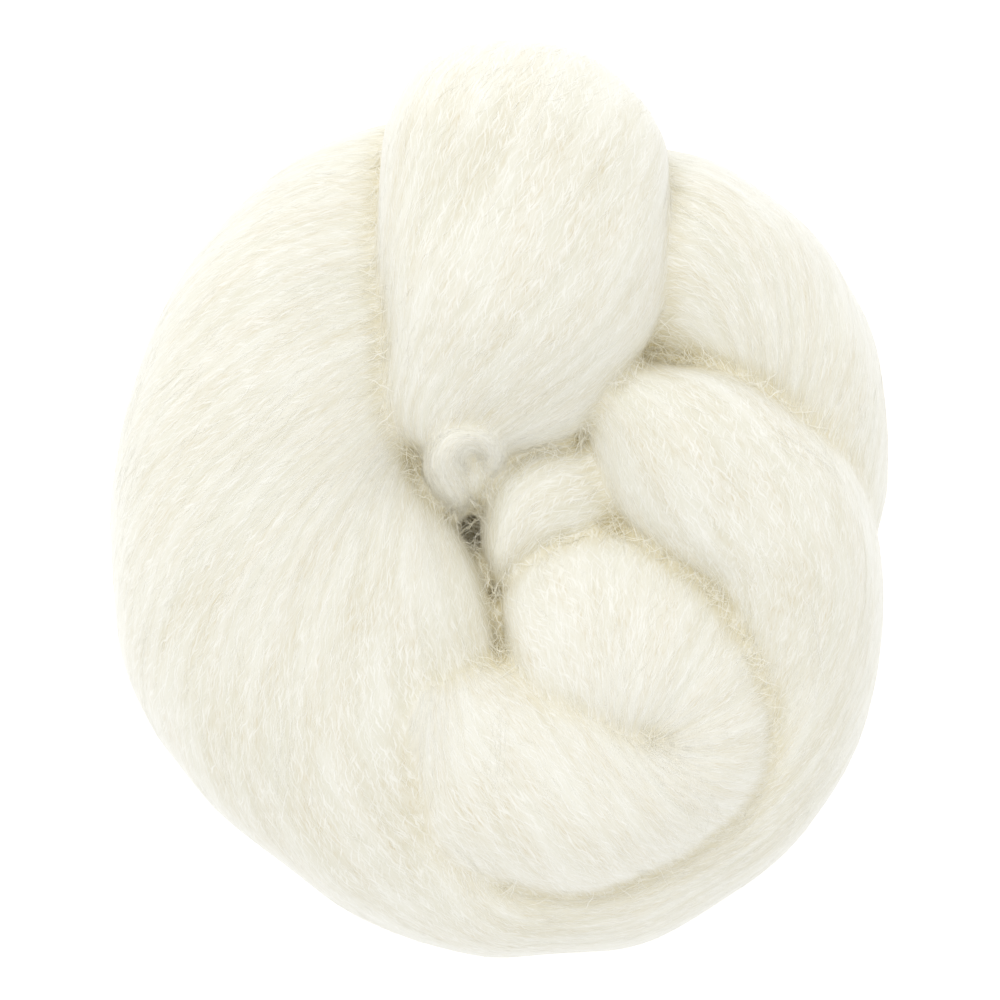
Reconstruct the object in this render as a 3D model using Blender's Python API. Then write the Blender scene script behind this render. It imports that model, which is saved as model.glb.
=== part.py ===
"""Wool roving hank: one thick strand of unspun wool wound on itself, lying on a surface.

Metres, +Z up. The origin is the middle of the hank's footprint, on the surface it lies on.
+X is to the right and +Y to the far side, as the hank is seen from above.

Each turn of the strand is a tube lofted through the rows of a table. The turns are merged
into one closed skin, which is thinned and cut flat where it rests.
"""
from collections import namedtuple

import bmesh
import bpy
import numpy as np

MM = 0.001

# How the turns are lofted.
SECTION_POINTS = 40  # points round the strand
STEPS_PER_ROW = 6  # rings between two rows of a table
FULLNESS = 2.15  # section shape: 2 is an ellipse, more is boxier
DOME_RINGS = 5  # rings that close each end of a turn

# How the turns become one skin.
VOXEL = 1.5 * MM
SMOOTHING_FACTOR = 0.5
SMOOTHING_PASSES = 4
SKIN_TRIANGLES = 8600
FLOOR_Z = 0.0  # the skin is cut flat here

WOOL_COLOUR = (0.90, 0.88, 0.80, 1.0)
WOOL_ROUGHNESS = 0.95

# One section of a turn, in millimetres: its inner and outer edge as seen from above, and the
# height of its underside and its crown. A low of less than 0 is pressed flat on the surface.
# The crown is tipped back against the run by so many degrees: 90 lays the section flat.
Section = namedtuple("Section", "inner_x inner_y outer_x outer_y low top tipped", defaults=[0])
# The two ends of a turn close in a dome that reaches this far past the last section.
Turn = namedtuple("Turn", "sections first_dome last_dome")

# The ring: from under the top turn round the left, the near side and the right, and back.
RING = Turn(
    sections=[
        Section(-5.0, 24.0, -8.5, 62.0, 4.0, 30.0),
        Section(-14.5, 14.0, -19.5, 64.5, 0.0, 37.0),
        Section(-13.5, 10.5, -39.6, 55.1, -1.5, 41.0),
        Section(-13.0, 9.0, -56.4, 34.5, -2.0, 43.5),
        Section(-13.0, 8.0, -65.0, 9.0, -2.0, 45.0),
        Section(-13.0, 6.5, -66.0, -13.0, -2.0, 45.0),
        Section(-11.5, 3.5, -61.0, -35.5, -2.0, 44.0),
        Section(-7.5, -2.5, -48.2, -52.2, -2.0, 43.0),
        Section(-2.0, -12.5, -32.0, -66.5, -2.0, 40.0),
        Section(2.5, -27.0, -17.0, -75.0, -2.0, 35.0),
        Section(-1.0, -49.0, -5.0, -77.8, -2.0, 31.5),
        Section(4.0, -60.0, 5.0, -78.2, -2.0, 30.5),
        Section(17.0, -60.0, 20.0, -77.2, -2.0, 29.5),
        Section(28.0, -54.0, 33.5, -72.0, -2.0, 29.5),
        Section(37.0, -47.5, 45.5, -63.5, -1.5, 30.5),
        Section(41.0, -38.5, 56.0, -51.5, -1.0, 32.5),
        Section(39.0, -31.0, 62.5, -38.0, 0.0, 35.0),
        Section(36.0, -22.5, 65.2, -24.5, 1.0, 38.5),
        Section(31.5, -14.0, 65.5, -14.0, 2.0, 41.5),
        Section(26.0, -9.5, 64.0, -5.5, 4.0, 43.5),
        Section(20.8, -4.5, 59.5, 5.8, 6.0, 45.0),
        Section(17.6, 0.5, 51.5, 14.8, 8.0, 45.5),
        Section(15.8, 5.0, 43.5, 20.3, 9.0, 44.5),
        Section(14.4, 9.5, 35.5, 23.0, 10.0, 43.0),
        Section(13.0, 13.5, 28.5, 24.0, 10.0, 40.0),
        Section(10.5, 18.5, 21.5, 26.0, 10.0, 35.0),
    ],
    first_dome=8.0,
    last_dome=4.0,
)

# The top turn: up from under the far edge, tipped over it, then forward to the middle.
TOP_TURN = Turn(
    sections=[
        Section(-17.0, 42.0, 22.0, 42.0, 1.0, 18.0, 180),
        Section(-18.5, 54.0, 23.0, 54.5, 1.0, 20.0, 165),
        Section(-18.5, 60.0, 23.5, 60.8, 4.0, 28.0, 128),
        Section(-18.5, 60.4, 22.5, 61.0, 8.5, 43.5, 90),
        Section(-19.7, 60.5, 26.3, 61.2, 20.0, 47.5, 50),
        Section(-20.0, 56.0, 28.4, 57.0, 25.5, 50.5, 18),
        Section(-20.0, 43.5, 28.0, 43.5, 25.0, 52.0),
        Section(-20.2, 34.0, 27.0, 34.0, 22.0, 51.5),
        Section(-20.2, 27.5, 25.4, 27.5, 20.5, 50.0),
        Section(-20.5, 21.5, 22.3, 22.0, 20.0, 47.5),
        Section(-20.5, 15.8, 18.5, 16.5, 20.0, 44.5),
        Section(-18.5, 11.0, 13.0, 11.4, 22.0, 41.0),
        Section(-14.5, 8.2, 5.0, 8.2, 24.0, 37.0),
    ],
    first_dome=3.0,
    last_dome=1.0,
)

# The tuck: what shows between the ring's and the top turn's edges, down into the hollow.
TUCK = Turn(
    sections=[
        Section(-20.0, 32.0, -4.0, 32.0, 16.0, 36.0),
        Section(-20.0, 26.0, -4.0, 26.0, 14.0, 36.0),
        Section(-21.0, 20.0, -3.0, 19.5, 12.0, 36.0),
        Section(-20.5, 14.5, 1.0, 13.5, 10.0, 36.0),
        Section(-17.0, 8.5, 2.5, 8.5, 8.0, 37.0),
        Section(-13.0, 3.5, 1.5, 3.0, 6.0, 34.5),
        Section(-11.0, -1.0, -2.0, -1.5, 4.0, 28.0),
    ],
    first_dome=3.0,
    last_dome=2.0,
)

# The curl: the short fat curl where the top turn ends beside the hollow.
CURL = Turn(
    sections=[
        Section(-3.6, 6.6, 0.2, 5.0, 24.0, 36.5),
        Section(-3.8, 7.0, 1.2, 8.0, 24.0, 39.8),
        Section(-4.2, 7.4, -0.4, 11.6, 26.0, 42.0),
        Section(-4.8, 7.4, -5.0, 13.4, 26.0, 43.5),
        Section(-5.2, 7.0, -9.6, 12.6, 26.0, 43.5),
        Section(-5.4, 6.4, -12.4, 9.0, 24.0, 42.8),
        Section(-5.2, 5.8, -12.8, 4.6, 22.0, 41.0),
        Section(-4.2, 4.6, -11.2, 1.0, 16.0, 37.5),
        Section(-3.6, 2.6, -9.2, -1.4, 12.0, 33.0),
        Section(-4.6, 0.0, -8.0, -3.2, 8.0, 27.0),
    ],
    first_dome=1.0,
    last_dome=2.0,
)

# The tucked end: past the curl it spreads out low down and fills the middle of the hank.
TUCKED_END = Turn(
    sections=[
        Section(-19.0, 24.0, 22.0, 30.0, 1.5, 22.0),
        Section(-20.0, 8.0, 26.0, 8.0, 1.5, 26.0),
        Section(-15.0, -8.0, 28.0, -10.0, 1.5, 17.0),
        Section(-8.0, -22.0, 34.0, -26.0, 1.5, 16.0),
        Section(-2.0, -40.0, 32.0, -40.0, 1.5, 22.0),
    ],
    first_dome=4.0,
    last_dome=6.0,
)

# The back turn: from under the top turn to the notch on the right, and under the ring.
BACK_TURN = Turn(
    sections=[
        Section(14.0, 22.0, 18.0, 62.0, 2.0, 37.0),
        Section(23.5, 21.5, 28.5, 60.0, 0.0, 39.5),
        Section(30.0, 20.0, 39.5, 56.5, -1.5, 39.5),
        Section(37.5, 16.5, 54.0, 44.5, -2.0, 38.0),
        Section(44.0, 11.0, 62.5, 31.0, -2.0, 36.0),
        Section(47.0, 3.0, 66.2, 15.5, -2.0, 33.0),
        Section(50.0, -2.0, 66.3, 4.0, -2.0, 29.0),
        Section(51.0, -8.0, 64.5, -7.5, -2.0, 24.0),
    ],
    first_dome=5.0,
    last_dome=5.0,
)

# The small turn beside the hollow.
SMALL_TURN = Turn(
    sections=[
        Section(2.5, -16.0, -2.8, -13.5, 4.0, 27.0),
        Section(4.0, -13.0, -3.9, -8.0, 4.0, 31.5),
        Section(6.5, -11.5, -3.7, -1.0, 4.0, 33.5),
        Section(9.5, -10.5, -2.3, 6.0, 4.0, 34.5),
        Section(13.0, -10.0, 2.5, 12.0, 4.0, 34.5),
        Section(18.5, -8.5, 10.0, 14.5, 4.0, 33.5),
        Section(26.0, -5.0, 21.0, 16.0, 4.0, 31.0),
    ],
    first_dome=1.5,
    last_dome=3.0,
)

# The inner turn: a bun that folds round its own middle, from the hollow round to the near left.
INNER_TURN = Turn(
    sections=[
        Section(1.5, -35.0, 0.6, -22.5, 3.0, 31.0),
        Section(8.0, -42.0, 0.6, -13.6, 3.0, 37.5),
        Section(13.0, -44.5, 6.4, -6.8, 3.0, 40.0),
        Section(17.0, -46.5, 15.3, -3.6, 3.0, 41.0),
        Section(18.5, -47.5, 25.5, -5.0, 3.0, 41.0),
        Section(18.5, -47.0, 36.0, -11.5, 3.0, 41.0),
        Section(18.5, -45.5, 43.0, -20.5, 3.0, 40.0),
        Section(18.5, -43.5, 47.3, -29.8, 3.0, 39.5),
        Section(18.5, -41.0, 48.5, -38.5, 3.0, 39.5),
        Section(21.0, -37.5, 46.0, -48.0, 3.0, 39.5),
        Section(21.5, -35.5, 38.5, -56.5, 3.0, 40.0),
        Section(18.5, -32.0, 27.0, -63.5, 3.0, 41.0),
        Section(13.0, -28.5, 14.0, -68.0, 3.0, 42.0),
        Section(7.5, -26.5, 0.5, -66.5, 3.0, 42.0),
        Section(3.0, -25.0, -11.0, -62.0, 3.0, 41.8),
        Section(-1.5, -25.5, -15.5, -56.0, 3.0, 41.4),
        Section(-6.0, -26.5, -17.5, -49.5, 3.0, 41.2),
        Section(-10.0, -28.0, -18.0, -42.5, 3.0, 40.6),
    ],
    first_dome=2.0,
    last_dome=3.0,
)

TURNS = [RING, TOP_TURN, TUCK, CURL, TUCKED_END, BACK_TURN, SMALL_TURN, INNER_TURN]


def clear_scene():
    for item in list(bpy.data.objects):
        bpy.data.objects.remove(item, do_unlink=True)


def smooth_rows(rows, steps):
    """Rows of numbers, with steps - 1 more between each two on a curve through them all."""
    padded = np.vstack([2 * rows[0] - rows[1], rows, 2 * rows[-1] - rows[-2]])
    filled = []
    for before, start, end, after in zip(padded, padded[1:], padded[2:], padded[3:]):
        for t in np.arange(steps) / steps:
            lean_out = (end - before) / 2
            lean_in = (after - start) / 2
            filled.append(
                (2 * t**3 - 3 * t**2 + 1) * start
                + (t**3 - 2 * t**2 + t) * lean_out
                + (3 * t**2 - 2 * t**3) * end
                + (t**3 - t**2) * lean_in
            )
    return np.array(filled + [rows[-1]])


def section_outline():
    """One section of the strand: how far across, -1 to 1, and how far up, -1 to 1."""
    angle = np.arange(SECTION_POINTS) / SECTION_POINTS * 2 * np.pi
    power = 2 / FULLNESS
    across = np.sign(np.cos(angle)) * np.abs(np.cos(angle)) ** power
    up = np.sign(np.sin(angle)) * np.abs(np.sin(angle)) ** power
    return across, up


def rings_of(turn):
    """The turn's rings of points in metres, one array of points for each ring."""
    rows = smooth_rows(np.array(turn.sections, float), STEPS_PER_ROW)
    across, up = section_outline()
    middles = (rows[:, 0:2] + rows[:, 2:4]) / 2
    halves = (rows[:, 2:4] - rows[:, 0:2]) / 2
    backs = np.column_stack([halves[:, 1], -halves[:, 0]])
    backs /= np.linalg.norm(backs, axis=1)[:, None]
    if (np.diff(middles, axis=0) * backs[1:]).sum() > 0:
        backs = -backs
    rings = []
    for middle, half, back, (low, top, tipped) in zip(middles, halves, backs, rows[:, 4:]):
        rise = up * (top - low) / 2
        tip = np.radians(tipped)
        ring = np.empty((SECTION_POINTS, 3))
        ring[:, :2] = middle + np.outer(across, half) + np.outer(rise * np.sin(tip), back)
        ring[:, 2] = (low + top) / 2 + rise * np.cos(tip)
        rings.append(ring * MM)
    first = dome(rings[0], rings[1], turn.first_dome * MM)
    last = dome(rings[-1], rings[-2], turn.last_dome * MM)
    return first[::-1] + rings + last


def dome(ring, neighbour, reach):
    """Smaller and smaller rings that carry an end ring on, away from its neighbour."""
    centre = ring.mean(axis=0)
    onward = centre - neighbour.mean(axis=0)
    onward[2] = 0.0
    onward /= np.linalg.norm(onward)
    rings = []
    for k in range(1, DOME_RINGS + 1):
        angle = k / (DOME_RINGS + 1) * np.pi / 2
        rings.append(centre + (ring - centre) * np.cos(angle) + onward * reach * np.sin(angle))
    return rings


def add_tube(bm, rings):
    """Skins the rings into a closed tube and caps its two ends."""
    loops = [[bm.verts.new(point) for point in ring] for ring in rings]
    for here, there in zip(loops, loops[1:]):
        for k in range(SECTION_POINTS):
            following = (k + 1) % SECTION_POINTS
            bm.faces.new((here[k], here[following], there[following], there[k]))
    bm.faces.new(loops[0][::-1])
    bm.faces.new(loops[-1])


def merged_skin(turns):
    """One closed skin round all the turns, thinned and smoothed, as a mesh."""
    bm = bmesh.new()
    for turn in turns:
        add_tube(bm, rings_of(turn))
    bmesh.ops.recalc_face_normals(bm, faces=bm.faces)
    mesh = bpy.data.meshes.new("turns")
    bm.to_mesh(mesh)
    bm.free()
    guide = bpy.data.objects.new("turns_guide", mesh)
    bpy.context.collection.objects.link(guide)
    remesh = guide.modifiers.new("Merge", "REMESH")
    remesh.mode = "VOXEL"
    remesh.voxel_size = VOXEL
    smooth = guide.modifiers.new("Smooth", "SMOOTH")
    smooth.factor = SMOOTHING_FACTOR
    smooth.iterations = SMOOTHING_PASSES
    evaluated = guide.evaluated_get(bpy.context.evaluated_depsgraph_get())
    skin = bpy.data.meshes.new_from_object(evaluated)
    bpy.data.objects.remove(guide, do_unlink=True)
    return skin


def keep_outer_skin(bm):
    """Deletes every island but the largest, such as the walls of pockets between the turns."""
    unseen = set(bm.verts)
    islands = []
    while unseen:
        edge_of_search = [unseen.pop()]
        island = list(edge_of_search)
        while edge_of_search:
            for edge in edge_of_search.pop().link_edges:
                for vertex in edge.verts:
                    if vertex in unseen:
                        unseen.discard(vertex)
                        edge_of_search.append(vertex)
                        island.append(vertex)
        islands.append(island)
    islands.sort(key=len)
    for island in islands[:-1]:
        bmesh.ops.delete(bm, geom=island, context="VERTS")


def cut_flat(bm):
    """Cuts the skin at the surface it lies on and closes the cuts with flat faces."""
    everything = bm.verts[:] + bm.edges[:] + bm.faces[:]
    cut = bmesh.ops.bisect_plane(
        bm,
        geom=everything,
        dist=1e-6,
        plane_co=(0.0, 0.0, FLOOR_Z),
        plane_no=(0.0, 0.0, 1.0),
        clear_inner=True,
    )
    rim = [item for item in cut["geom_cut"] if isinstance(item, bmesh.types.BMEdge)]
    bmesh.ops.holes_fill(bm, edges=rim, sides=0)


def thinned(mesh, triangles):
    """The mesh brought down to about so many triangles."""
    helper = bpy.data.objects.new("thin_guide", mesh)
    bpy.context.collection.objects.link(helper)
    mesh.calc_loop_triangles()
    decimate = helper.modifiers.new("Thin", "DECIMATE")
    decimate.ratio = triangles / len(mesh.loop_triangles)
    evaluated = helper.evaluated_get(bpy.context.evaluated_depsgraph_get())
    result = bpy.data.meshes.new_from_object(evaluated)
    bpy.data.objects.remove(helper, do_unlink=True)
    return result


def wool_material():
    material = bpy.data.materials.new("wool")
    material.use_nodes = True
    surface = material.node_tree.nodes["Principled BSDF"]
    surface.inputs["Base Color"].default_value = WOOL_COLOUR
    surface.inputs["Roughness"].default_value = WOOL_ROUGHNESS
    surface.inputs["Metallic"].default_value = 0.0
    return material


def make_hank():
    bm = bmesh.new()
    bm.from_mesh(merged_skin(TURNS))
    keep_outer_skin(bm)
    skin = bpy.data.meshes.new("skin")
    bm.to_mesh(skin)
    bm.free()
    bm = bmesh.new()
    bm.from_mesh(thinned(skin, SKIN_TRIANGLES))
    cut_flat(bm)
    bmesh.ops.recalc_face_normals(bm, faces=bm.faces)
    mesh = bpy.data.meshes.new("roving_hank")
    bm.to_mesh(mesh)
    bm.free()
    mesh.shade_smooth()
    mesh.materials.append(wool_material())
    hank = bpy.data.objects.new("roving_hank", mesh)
    bpy.context.collection.objects.link(hank)


clear_scene()
make_hank()
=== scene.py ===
"""The looks of the wool roving hank: its turns as streaky, softly lumped strands, the fibres
that lie along them, the stray fibres over the creases, and the light and camera.

Lengths in the tables are millimetres. +X is to the right, +Y away and +Z up, as in the frame.
"""
from collections import namedtuple

import bmesh
import bpy
import numpy as np
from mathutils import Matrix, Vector
from mathutils.bvhtree import BVHTree


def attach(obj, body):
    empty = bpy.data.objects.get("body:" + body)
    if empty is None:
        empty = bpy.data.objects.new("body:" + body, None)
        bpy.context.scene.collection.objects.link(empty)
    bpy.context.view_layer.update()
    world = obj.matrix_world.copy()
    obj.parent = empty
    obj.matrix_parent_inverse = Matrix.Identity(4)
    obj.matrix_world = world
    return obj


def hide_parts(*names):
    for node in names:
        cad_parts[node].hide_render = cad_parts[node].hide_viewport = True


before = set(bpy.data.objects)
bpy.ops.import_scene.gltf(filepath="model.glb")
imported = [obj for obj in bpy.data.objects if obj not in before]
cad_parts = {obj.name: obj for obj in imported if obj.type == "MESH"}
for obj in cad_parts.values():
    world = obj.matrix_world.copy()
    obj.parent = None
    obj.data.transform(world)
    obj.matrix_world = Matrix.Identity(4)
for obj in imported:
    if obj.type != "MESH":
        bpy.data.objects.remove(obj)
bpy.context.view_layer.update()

MM = 0.001
SEED = 7

# -------- finishes
WOOL_SHADE = (0.755, 0.737, 0.622, 1.0)
WOOL_GROUND = (0.825, 0.81, 0.718, 1.0)
WOOL_GAP = (0.64, 0.55, 0.36, 1.0)
WOOL_HAIR = (0.94, 0.935, 0.885, 1.0)
# Painted shade: the browner colour the skin takes in creases and where the hank hides its sky.
WOOL_PAINTED_SHADE = (0.70, 0.62, 0.385, 1.0)
# Painted rim light: the paler colour of open sides that face sideways.
WOOL_PAINTED_RIM_LIGHT = (0.87, 0.87, 0.82, 1.0)
FIBRE_SHADE = (0.84, 0.82, 0.725, 1.0)
FIBRE_LIGHT = (0.93, 0.92, 0.865, 1.0)
# Painted shade on the parts of fibres that lie in creases.
FIBRE_PAINTED_SHADE = (0.86, 0.82, 0.665, 1.0)
# Matt, with the soft bloom of fine fibres.
WOOL_SURFACE = {
    "Roughness": 0.9, "Specular IOR Level": 0.15, "Sheen Weight": 0.5, "Sheen Roughness": 0.4,
}
# Pale and faintly alight, so that it shows white.
FLOOR_SURFACE = {
    "Base Color": (0.97, 0.97, 0.97, 1.0), "Roughness": 0.9, "Specular IOR Level": 0.0,
    "Emission Color": (1.0, 1.0, 1.0, 1.0), "Emission Strength": 0.25,
}
GAP_STRENGTH = 0.42
HAIR_STRENGTH = 0.62
HAIR_EDGES = (0.53, 0.75)  # the noise values at which a hair begins and is full
# How far each layer of hairs is turned from the flow, its length and width, and its own place
# in the noise.
HAIR_LAYERS = [
    (0.0, 5.0, 0.2, 0.0), (6.0, 4.5, 0.21, 10.0), (-8.0, 4.5, 0.21, 20.0), (22.0, 3.0, 0.26, 30.0)
]
PAINTED_RIM_LIGHT_STRENGTH = 0.6
CRIMP = 0.4  # how far a fibre of the pattern sways
CRIMP_LENGTH = 1.4
CRIMP_WIDTH = 5.0  # how far across the fibres a crimp of the pattern stays in step
# Three more layers with the same columns: gaps are specks in patches, locks broad streaks.
# The edges are the noise values at which each of them begins and is full.
PATCHES = (0.0, 16.0, 3.0, 50.0)
PATCH_EDGES = (0.35, 0.65)
SPECKS = (2.0, 2.2, 0.26, 60.0)
SPECK_EDGES = (0.5, 0.75)
SPECKLESS = 0.35  # how much of a gap there is between the specks of a patch
LOCKS = (-2.0, 24.0, 1.5, 70.0)
LOCK_EDGES = (0.3, 0.7)
LOCK_HEIGHT = 2.0  # how high a lock stands, in heights of a hair
HAIR_HEIGHT = 0.03

# -------- skin and fibres
VOXEL = 0.87  # size of a cell where the turns are joined into one skin
SMOOTH_ROUNDS = 2
PRESSED = 0.3  # what lies lower than this is pressed flat on the surface
SKY_RAYS = 16
SKY_REACH = 18.0
SKY_START = 0.4  # how far off the skin a ray starts
GOLDEN_TURN = 2.399963  # radians between neighbours that spreads rays evenly
# Painted shade in the creases, from how deep a vertex lies in a hollow and how much of its sky the
# hank hides.
HOLLOW_ROUNDS = 24  # rounds of smoothing over which a crease counts as one
HOLLOW_FULL = 1.1  # the depth at which a crease is at its darkest
HIDDEN_FROM = 0.3  # the share of sky that may be hidden before the skin darkens
HIDDEN_RANGE = 0.6
HIDDEN_SHARE = 0.6  # how far hidden sky alone darkens the skin
HOLLOW_SHARE = 0.9  # and how far depth alone does
CREASE_ROUNDS = 8  # rounds of smoothing over which a crease's painted shade fades out
# Painted rim light, on open sides that face sideways.
RIM_LEVEL = 0.8  # how level the skin is where its rim begins, from 0 to 1
RIM_RANGE = 0.6
RIM_SHELTER = 0.3  # the share of hidden sky at which no rim is left
CREASE_SHARE = 4.0  # how much closer fibres lie in the creases than elsewhere
CREASE_CLOSEST = 0.5  # the crease weight from which they do
TOO_DEEP = 0.97  # the crease weight past which no fibre would show
BELOW_SLOPE = 0.3  # how far a face has to look down to count as the underside, up to 1
BELOW_SHARE = 0.2  # how many fibres the underside gets, next to the rest
WISP_SPREAD = 1.6  # how far apart the fibres of a wisp start, in cells
WISP_STRAY = 4.0  # and how many degrees apart they run
BEND = 30.0  # how many degrees a fibre bends over its length
FAR_OFF = 3.0  # a fibre further than this off the skin is left out
SUNK = 0.02  # how far the ends of a fibre dip into the skin
RISE = 0.05  # half of how far its middle rises on average
CRIMP_PITCH = (2.0, 3.4)  # the shortest and longest wave of a modelled fibre
CRIMP_SWAY = (0.06, 0.16)  # how far it sways to the side, least and most
CRIMP_WAVE = (0.0, 0.08)  # and how far up and down
CROSSING_DEEP = 0.35  # the crease weight from which stray fibres cross
CROSSING_HEIGHT = 13.0  # and the lowest place where they do
CROSSING_LIFT = 1.5  # how far above the crease their ends are looked for
CROSSING_ARCH = (0.1, 0.5)  # how far their middles rise: the mean, and the spread about it
CROSSING_CLEAR = 0.03  # how far off the skin their ends lie
FIBRE_FLATNESS = 0.35  # how thick a fibre is for its width
TAPER = 0.12  # how early a fibre thins towards its ends, in radians
POINTS_A_PIECE = 33800  # fibre points, which keep a piece under 200,000 triangles
# Modelled fibres: how many, how many to a wisp, points on each, shortest and longest, how many
# degrees they stray from the lay, and the radius of the thinnest and the thickest.
FibreKind = namedtuple("FibreKind", "name count wisp points shortest longest stray thin thick")
FIBRE_KINDS = [
    FibreKind("lying_fibres", 7000, 1, 13, 4.0, 7.0, 14.0, 0.02, 0.05),
    FibreKind("long_fibres", 540, 1, 36, 11.0, 24.0, 7.0, 0.02, 0.045),
    FibreKind("wisp_fibres", 390, 13, 36, 13.0, 22.0, 22.0, 0.02, 0.042),
]
CROSSING = FibreKind("crossing_fibres", 1500, 1, 15, 2.5, 6.5, 0.0, 0.025, 0.065)

# -------- turns of the strand
CELL = 1.0  # size of a mesh cell on the strand
FULLNESS = 2.15  # section shape: 2 is an ellipse, more is boxier
DOME_RINGS = 8  # rings that close each end of a turn
SLACK_ALONG = 0.3  # how firmly the flow's first coordinate stays level across the fibres
SLACK_ACROSS = 0.06  # and how firmly its second one keeps true millimetres
FIT_STEPS = 1500  # the most steps that working it out may take
FLOW_EVERY = 2  # cells of the skin to one of the grid on which the flow is worked out
RIPPLE = 0.02  # how firmly neighbouring points of that grid stay level
ROW_STEPS = 12  # sections read from the curve between two in a table
STREAK_LENGTH = 14.0
STREAK_HEIGHT = 0.18
STREAK_TINT = 0.2
LUMP_SIZE = 24.0
LUMP_HEIGHT = 0.7
LUMP_WAVES = 6
SUNK_IN = 0.2  # how far the skin is drawn in, so that its lumps stay near the solid
SMALL = 1e-6  # keeps a length from being nought where it divides

# The columns of a turn's table of sections: the inner and outer edge as seen from above, the
# height of the underside and the crown, the lay of the fibres at the inner edge, the crown and
# the outer edge, in degrees from the strand's run towards the outer edge, and how many degrees
# the crown is tipped back against the run. The last four are nought where a row leaves them out.
Section = namedtuple(
    "Section",
    "inner_x inner_y outer_x outer_y low top lay_inner lay_crown lay_outer tipped",
    defaults=[0, 0, 0, 0],
)
# A turn has its sections, how far it is domed past the first and the last of them, how fine its
# pattern is, how much paler or darker and how hairy it is, and how much painted shade its creases
# take.
Turn = namedtuple(
    "Turn",
    "name sections domes fineness tone hairiness tan",
    defaults=[1.0, 0.0, 1.0, 1.0],
)

RING = Turn("ring_turn", domes=(8.0, 4.0), fineness=1.2, sections=[
    (-5, 24, -8.5, 62, 4, 30),
    (-14.5, 14, -19.5, 64.5, 0, 37, 0, 10, 10),
    (-13.5, 10.5, -39.6, 55.1, -1.5, 41, 10, 26, 25),
    (-13, 9, -56.4, 34.5, -2, 43.5, 28, 33, 22),
    (-13, 8, -65, 9, -2, 45, 45, 51, 38),
    (-13, 6.5, -66, -13, -2, 45, 45, 57, 38),
    (-11.5, 3.5, -61, -35.5, -2, 44, 15, 58, 44),
    (-7.5, -2.5, -48.2, -52.2, -2, 43, 10, 50, 42),
    (-2, -12.5, -32, -66.5, -2, 40, 15, 22, 18),
    (2.5, -27, -17, -75, -2, 35, 15, 8, 12),
    (-1, -49, -5, -77.8, -2, 31.5, 10, 5, 8),
    (4, -60, 5, -78.2, -2, 30.5),
    (17, -60, 20, -77.2, -2, 29.5),
    (28, -54, 33.5, -72, -2, 29.5, 0, 5, 5),
    (37, -47.5, 45.5, -63.5, -1.5, 30.5, 0, 10, 15),
    (41, -38.5, 56, -51.5, -1, 32.5, 0, 15, 30),
    (39, -31, 62.5, -38, 0, 35, 5, 15, 35),
    (36, -22.5, 65.2, -24.5, 1, 38.5, 5, 13, 38),
    (31.5, -14, 65.5, -14, 2, 41.5, 10, 8, 35),
    (26, -9.5, 64, -5.5, 4, 43.5, 15, -2, 28),
    (20.8, -4.5, 59.5, 5.8, 6, 45, 15, 0, 24),
    (17.6, 0.5, 51.5, 14.8, 8, 45.5, 18, 2, 24),
    (15.8, 5, 43.5, 20.3, 9, 44.5, 18, 4, 26),
    (14.4, 9.5, 35.5, 23, 10, 43, 15, 6, 20),
    (13, 13.5, 28.5, 24, 10, 40, 10, 5, 10),
    (10.5, 18.5, 21.5, 26, 10, 35),
])
TOP_TURN = Turn("top_turn", domes=(3.0, 1.0), fineness=1.5, sections=[
    (-17, 42, 22, 42, 1, 18, 0, -15, -20, 180),
    (-18.5, 54, 23, 54.5, 1, 20, 0, -18, -20, 165),
    (-18.5, 60, 23.5, 60.8, 4, 28, -3, -26, -22, 128),
    (-18.5, 60.4, 22.5, 61, 8.5, 43.5, -6, -33, -26, 90),
    (-19.7, 60.5, 26.3, 61.2, 20, 47.5, -6, -36, -28, 50),
    (-20, 56, 28.4, 57, 25.5, 50.5, -5, -36, -27, 18),
    (-20, 43.5, 28, 43.5, 25, 52, 0, -35, -24),
    (-20.2, 34, 27, 34, 22, 51.5, 5, -34, -22),
    (-20.2, 27.5, 25.4, 27.5, 20.5, 50, 12, -34, -22),
    (-20.5, 21.5, 22.3, 22, 20, 47.5, 18, -34, -25),
    (-20.5, 15.8, 18.5, 16.5, 20, 44.5, 20, -36, -35),
    (-18.5, 11, 13, 11.4, 22, 41, 18, -30, -35),
    (-14.5, 8.2, 5, 8.2, 24, 37, 10, -20, -30),
])
TUCK = Turn("tuck_turn", domes=(3.0, 2.0), sections=[
    (-20, 32, -4, 32, 16, 36),
    (-20, 26, -4, 26, 14, 36),
    (-21, 20, -3, 19.5, 12, 36),
    (-20.5, 14.5, 1, 13.5, 10, 36),
    (-17, 8.5, 2.5, 8.5, 8, 37),
    (-13, 3.5, 1.5, 3, 6, 34.5),
    (-11, -1, -2, -1.5, 4, 28),
])
# The curl's tone lifts its colour, painted light against the shade of the hollow beside it, and it
# takes less painted crease shade than the rest.
CURL = Turn("curl_turn", domes=(1.0, 2.0), fineness=1.3, tone=0.3, hairiness=5, tan=0.6, sections=[
    (-3.6, 6.6, 0.2, 5, 24, 36.5),
    (-3.8, 7, 1.2, 8, 24, 39.8),
    (-4.2, 7.4, -0.4, 11.6, 26, 42),
    (-4.8, 7.4, -5, 13.4, 26, 43.5),
    (-5.2, 7, -9.6, 12.6, 26, 43.5),
    (-5.4, 6.4, -12.4, 9, 24, 42.8),
    (-5.2, 5.8, -12.8, 4.6, 22, 41),
    (-4.2, 4.6, -11.2, 1, 16, 37.5),
    (-3.6, 2.6, -9.2, -1.4, 12, 33),
    (-4.6, 0, -8, -3.2, 8, 27),
])
TUCKED_END = Turn("tucked_end", domes=(4.0, 6.0), sections=[
    (-19, 24, 22, 30, 1.5, 22),
    (-20, 8, 26, 8, 1.5, 26),
    (-15, -8, 28, -10, 1.5, 17),
    (-8, -22, 34, -26, 1.5, 16),
    (-2, -40, 32, -40, 1.5, 22),
])
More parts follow.
